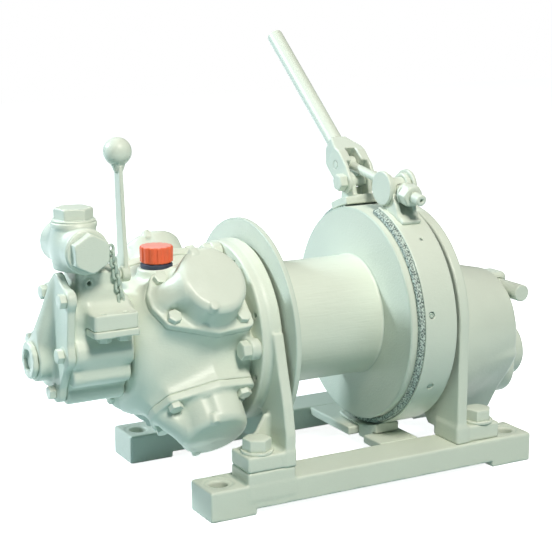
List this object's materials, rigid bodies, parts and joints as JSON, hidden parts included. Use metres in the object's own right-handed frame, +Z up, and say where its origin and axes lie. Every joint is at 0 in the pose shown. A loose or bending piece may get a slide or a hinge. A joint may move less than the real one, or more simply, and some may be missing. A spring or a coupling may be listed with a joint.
{
  "type": "air winch",
  "caption": "Air-driven rope winch with a radial piston motor, throttle lever, rope drum, band brake and gear case on two rails.",
  "frame": {"origin": "centre of the four anchor holes, on the underside of the rails", "axes": "+X along the drum axis from the motor to the gear case, +Y away from the operator, +Z up"},
  "size_m": [0.8321, 0.5129, 0.6443],
  "materials": {
    "green_paint": "thick brushed enamel, pale grey-green",
    "woven_lining": "woven friction lining",
    "orange_plastic": "moulded plastic cap",
    "black_plastic": "sealing ring"
  },
  "bodies": {
    "base": {"rail_front": "green_paint", "rail_back": "green_paint", "cross_plate": "green_paint", "motor_frame": "green_paint", "gear_frame": "green_paint", "foot_bolts": "green_paint", "crankcase": "green_paint", "cylinder_head_1": "green_paint", "cylinder_head_2": "green_paint", "cylinder_head_3": "green_paint", "cylinder_head_4": "green_paint", "head_bolts": "green_paint", "motor_mount_bolts": "green_paint", "valve_chest": "green_paint", "valve_end_cover": "green_paint", "end_cover_bolts": "green_paint", "end_plug": "green_paint", "exhaust_plate": "green_paint", "exhaust_bolts": "green_paint", "throttle_valve": "green_paint", "top_plug": "green_paint", "front_plug": "green_paint", "breather_cap": "orange_plastic", "breather_ring": "black_plastic", "keeper_chain": "green_paint", "brake_lining": "woven_lining", "brake_band": "green_paint", "band_anchor": "green_paint", "rear_ear": "green_paint", "front_ear": "green_paint", "gear_case": "green_paint", "gear_end_cover": "green_paint", "clutch_bar": "green_paint"},
    "throttle": {"throttle_stem": "green_paint", "throttle_lever": "green_paint", "throttle_knob": "green_paint"},
    "drum": {"rope_barrel": "green_paint", "drum_flange": "green_paint", "brake_drum": "green_paint", "drum_shaft": "green_paint"},
    "brake_arm": {"brake_fork": "green_paint", "brake_lever": "green_paint", "pivot_bolt": "green_paint", "link_pin": "green_paint"},
    "link": {"link_rod": "green_paint", "rod_nut": "green_paint"},
    "swivel": {"trunnion": "green_paint"}
  },
  "joints": [
    {"name": "drum_spin", "type": "hinge", "parent": "base", "child": "drum", "pos_m": [0, 0, 0.2245], "axis": [1, 0, 0], "continuous": true},
    {"name": "throttle_swing", "type": "hinge", "parent": "base", "child": "throttle", "pos_m": [-0.348, -0.028, 0.332], "axis": [1, 0, 0], "range_deg": [-25, 25], "stiffness_Nm_per_rad": 10},
    {"name": "brake_swing", "type": "hinge", "parent": "base", "child": "brake_arm", "pos_m": [0.1005, 0.06, 0.42], "axis": [1, 0, 0], "range_deg": [0, 35]},
    {"name": "link_swing", "type": "hinge", "parent": "brake_arm", "child": "link", "pos_m": [0.1005, 0.086, 0.444], "axis": [1, 0, 0], "range_deg": [-29, 0.5]},
    {"name": "swivel_turn", "type": "hinge", "parent": "base", "child": "swivel", "pos_m": [0.1005, -0.046, 0.424], "axis": [1, 0, 0], "range_deg": [-0.5, 7.5]}
  ],
  "couplings": [
    {"joint": "link_swing", "follows": "brake_swing", "ratio": -0.808},
    {"joint": "swivel_turn", "follows": "brake_swing", "ratio": 0.192}
  ]
}
